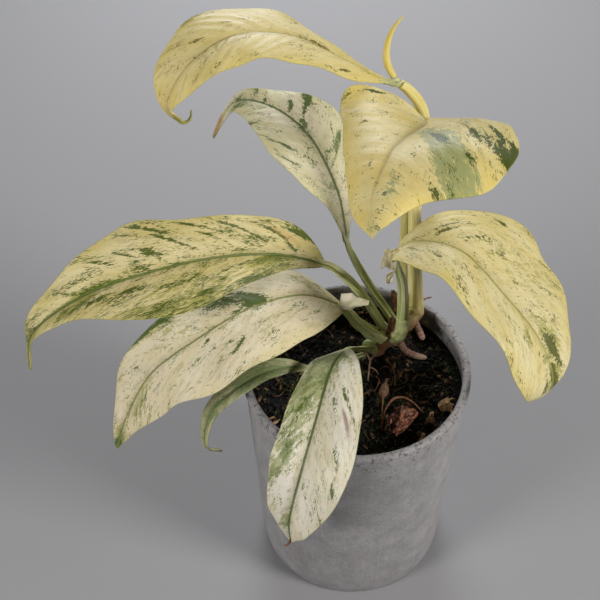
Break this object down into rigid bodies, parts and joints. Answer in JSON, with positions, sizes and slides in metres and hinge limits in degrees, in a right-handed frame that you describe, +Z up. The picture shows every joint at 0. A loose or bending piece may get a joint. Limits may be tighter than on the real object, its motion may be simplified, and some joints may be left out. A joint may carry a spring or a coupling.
{
  "type": "potted rhaphidophora",
  "caption": "Young variegated climbing aroid with long arching cream and green leaves, growing from dark mossy soil in a tapered round nursery pot.",
  "frame": {"origin": "middle of the pot's underside, on the surface that it stands on", "axes": "+Z up, the plant's longest leaf reaches towards -X, and the picture's camera looks along +Y"},
  "size_m": [0.2718, 0.1901, 0.3288],
  "materials": {
    "pot_plastic": "matte mottled grey",
    "potting_soil": "rough dark soil",
    "stem_skin": "smooth green skin",
    "young_leaf": "smooth pale yellow",
    "leaf_yellow": "satin yellow variegated leaf",
    "leaf_cream": "satin cream variegated leaf",
    "leaf_white": "satin whitish variegated leaf",
    "leaf_green": "dull green leaf",
    "dry_brown": "dry papery brown"
  },
  "bodies": {
    "root": {"pot": "pot_plastic", "soil": "potting_soil", "stem": "stem_skin", "new_leaf": "young_leaf", "leaf_a": "leaf_yellow", "leaf_b": "leaf_yellow", "leaf_c": "leaf_yellow", "leaf_d": "leaf_white", "leaf_e": "leaf_cream", "leaf_f": "leaf_cream", "leaf_g": "leaf_green", "leaf_h": "leaf_white", "dried_leaf": "dry_brown", "husk": "dry_brown", "dry_sheath": "dry_brown"}
  },
  "joints": []
}
